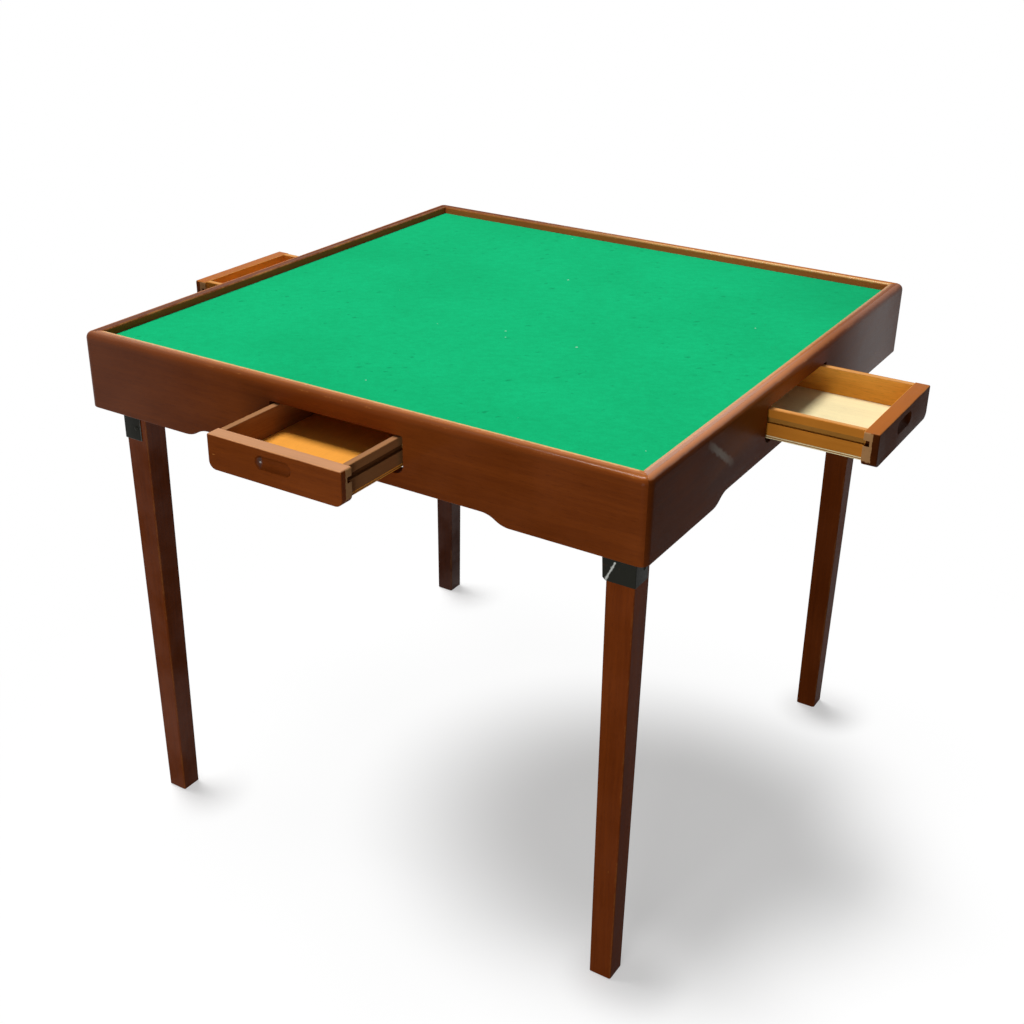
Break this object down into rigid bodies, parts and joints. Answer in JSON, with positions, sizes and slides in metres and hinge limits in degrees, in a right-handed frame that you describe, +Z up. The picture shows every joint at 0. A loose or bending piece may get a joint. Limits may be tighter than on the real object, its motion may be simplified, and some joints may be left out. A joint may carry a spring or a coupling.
{
  "type": "folding mahjong table",
  "caption": "Square game table with a recessed baize top inside a mitred wooden rim, a small drawer in each side and tapered legs that fold up inside the aprons.",
  "frame": {"origin": "on the floor, under the middle of the table top", "axes": "+Z up; -Y faces the front, the side seen on the left of the picture; +X to the right of someone facing the front"},
  "size_m": [1.116, 0.98, 0.762],
  "materials": {
    "apron_wood": "dark reddish-brown stain under semi-gloss lacquer",
    "drawer_wood": "brown stain under satin lacquer",
    "drawer_plywood": "pale plywood under thin lacquer",
    "leg_wood": "dark reddish-brown stain under satin lacquer",
    "inner_wood": "unfinished, planed",
    "baize": "close-cropped wool cloth, glued down flat",
    "bracket_steel": "black japanned, worn bright along the edges",
    "fastener_steel": "zinc plated"
  },
  "bodies": {
    "table": {"front_apron": "apron_wood", "right_apron": "apron_wood", "back_apron": "apron_wood", "left_apron": "apron_wood", "top_panel": "inner_wood", "baize": "baize", "front_right_corner_block": "inner_wood", "back_right_corner_block": "inner_wood", "back_left_corner_block": "inner_wood", "front_left_corner_block": "inner_wood", "panel_cleats": "inner_wood", "front_drawer_left_rail": "inner_wood", "front_drawer_right_rail": "inner_wood", "right_drawer_left_rail": "inner_wood", "right_drawer_right_rail": "inner_wood", "back_drawer_left_rail": "inner_wood", "back_drawer_right_rail": "inner_wood", "left_drawer_left_rail": "inner_wood", "left_drawer_right_rail": "inner_wood", "front_right_pivot_bracket": "bracket_steel", "back_right_pivot_bracket": "bracket_steel", "back_left_pivot_bracket": "bracket_steel", "front_left_pivot_bracket": "bracket_steel", "pivot_bolts": "fastener_steel", "pivot_nuts": "fastener_steel", "bracket_screws": "fastener_steel", "panel_screws": "fastener_steel"},
    "front_drawer": {"front_drawer_face": "apron_wood", "front_drawer_left_side": "drawer_wood", "front_drawer_right_side": "drawer_wood", "front_drawer_back": "drawer_wood", "front_drawer_bottom": "drawer_plywood"},
    "right_drawer": {"right_drawer_face": "apron_wood", "right_drawer_left_side": "drawer_wood", "right_drawer_right_side": "drawer_wood", "right_drawer_back": "drawer_wood", "right_drawer_bottom": "drawer_plywood"},
    "back_drawer": {"back_drawer_face": "apron_wood", "back_drawer_left_side": "drawer_wood", "back_drawer_right_side": "drawer_wood", "back_drawer_back": "drawer_wood", "back_drawer_bottom": "drawer_plywood"},
    "left_drawer": {"left_drawer_face": "apron_wood", "left_drawer_left_side": "drawer_wood", "left_drawer_right_side": "drawer_wood", "left_drawer_back": "drawer_wood", "left_drawer_bottom": "drawer_plywood"},
    "front_right_folding_leg": {"front_right_leg": "leg_wood", "front_right_leg_shoe": "bracket_steel", "front_right_leg_rivet": "fastener_steel"},
    "back_right_folding_leg": {"back_right_leg": "leg_wood", "back_right_leg_shoe": "bracket_steel", "back_right_leg_rivet": "fastener_steel"},
    "back_left_folding_leg": {"back_left_leg": "leg_wood", "back_left_leg_shoe": "bracket_steel", "back_left_leg_rivet": "fastener_steel"},
    "front_left_folding_leg": {"front_left_leg": "leg_wood", "front_left_leg_shoe": "bracket_steel", "front_left_leg_rivet": "fastener_steel"}
  },
  "joints": [
    {"name": "front_drawer_slide", "type": "slide", "parent": "table", "child": "front_drawer", "axis": [0, -1, 0], "range_m": [-0.116, 0.064]},
    {"name": "right_drawer_slide", "type": "slide", "parent": "table", "child": "right_drawer", "axis": [1, 0, 0], "range_m": [-0.145, 0.035]},
    {"name": "back_drawer_slide", "type": "slide", "parent": "table", "child": "back_drawer", "axis": [0, 1, 0], "range_m": [0, 0.18]},
    {"name": "left_drawer_slide", "type": "slide", "parent": "table", "child": "left_drawer", "axis": [-1, 0, 0], "range_m": [-0.107, 0.073]},
    {"name": "front_right_leg_fold", "type": "hinge", "parent": "table", "child": "front_right_folding_leg", "pos_m": [0.385, -0.379, 0.672], "axis": [0, 1, 0], "range_deg": [0, 90]},
    {"name": "back_right_leg_fold", "type": "hinge", "parent": "table", "child": "back_right_folding_leg", "pos_m": [0.379, 0.385, 0.672], "axis": [-1, 0, 0], "range_deg": [0, 90]},
    {"name": "back_left_leg_fold", "type": "hinge", "parent": "table", "child": "back_left_folding_leg", "pos_m": [-0.385, 0.379, 0.672], "axis": [0, -1, 0], "range_deg": [0, 90]},
    {"name": "front_left_leg_fold", "type": "hinge", "parent": "table", "child": "front_left_folding_leg", "pos_m": [-0.379, -0.385, 0.672], "axis": [1, 0, 0], "range_deg": [0, 90]}
  ]
}
